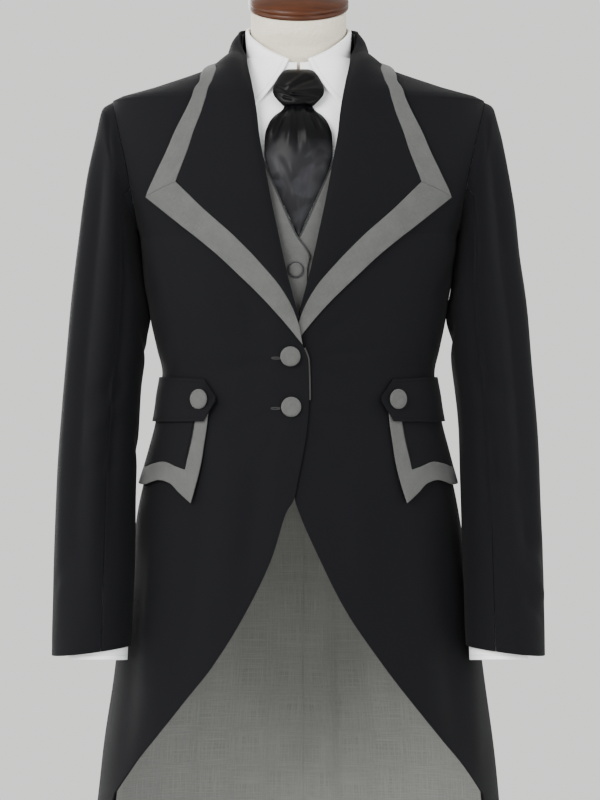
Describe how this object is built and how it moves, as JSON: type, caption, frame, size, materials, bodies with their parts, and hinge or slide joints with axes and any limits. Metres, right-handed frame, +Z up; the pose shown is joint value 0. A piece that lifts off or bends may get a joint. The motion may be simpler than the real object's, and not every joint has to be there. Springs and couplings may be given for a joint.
{
  "type": "morning suit on a limbless dress form with a stand",
  "caption": "Cutaway coat with trimmed lapels and flaps, waistcoat, shirt and cravat worn on a dress form with a neck cap, rod and round base.",
  "frame": {"origin": "centre of the neck's axis on the underside of the stand's base, which stands on the floor", "axes": "+Z up through the neck, the front faces -Y, +X is the viewer's right"},
  "size_m": [0.573, 0.42, 1.6019],
  "materials": {
    "coat_wool": "black wool cloth, matt with a soft nap",
    "grey_wool": "mid grey wool cloth, matt",
    "lining": "grey slubbed lining",
    "poplin": "white shirt cotton, plain weave",
    "satin": "black satin",
    "linen": "natural linen cover",
    "wood": "dark turned wood, waxed",
    "steel": "satin steel"
  },
  "bodies": {
    "root": {"coat_front_left": "coat_wool", "coat_side_left": "coat_wool", "coat_back_left": "coat_wool", "lapel_left": "coat_wool", "sleeve_top_left": "coat_wool", "sleeve_under_left": "coat_wool", "hip_tab_left": "coat_wool", "flap_left": "coat_wool", "coat_lining_left": "lining", "lapel_band_lower_left": "grey_wool", "lapel_band_side_left": "grey_wool", "flap_band_left": "grey_wool", "tab_button_left": "grey_wool", "waistcoat_front_left": "grey_wool", "shirt_front_left": "poplin", "shirt_collar_left": "poplin", "shirt_sleeve_left": "poplin", "shirt_cuff_left": "poplin", "coat_front_right": "coat_wool", "coat_side_right": "coat_wool", "coat_back_right": "coat_wool", "lapel_right": "coat_wool", "sleeve_top_right": "coat_wool", "sleeve_under_right": "coat_wool", "hip_tab_right": "coat_wool", "flap_right": "coat_wool", "coat_lining_right": "lining", "lapel_band_lower_right": "grey_wool", "lapel_band_side_right": "grey_wool", "flap_band_right": "grey_wool", "tab_button_right": "grey_wool", "waistcoat_front_right": "grey_wool", "shirt_front_right": "poplin", "shirt_collar_right": "poplin", "shirt_sleeve_right": "poplin", "shirt_cuff_right": "poplin", "coat_collar_stand": "coat_wool", "front_edging": "grey_wool", "front_button_1": "grey_wool", "front_button_2": "grey_wool", "waistcoat_back": "grey_wool", "waistcoat_button_1": "grey_wool", "waistcoat_button_2": "grey_wool", "waistcoat_button_3": "grey_wool", "waistcoat_button_4": "grey_wool", "shirt_back": "poplin", "shirt_collar_stand": "poplin", "cravat_band": "satin", "cravat_knot": "satin", "cravat_tail": "satin", "form_torso": "linen", "neck_cap": "wood", "stand_base": "steel", "stand_rod": "steel", "stand_collar": "steel"}
  },
  "joints": []
}
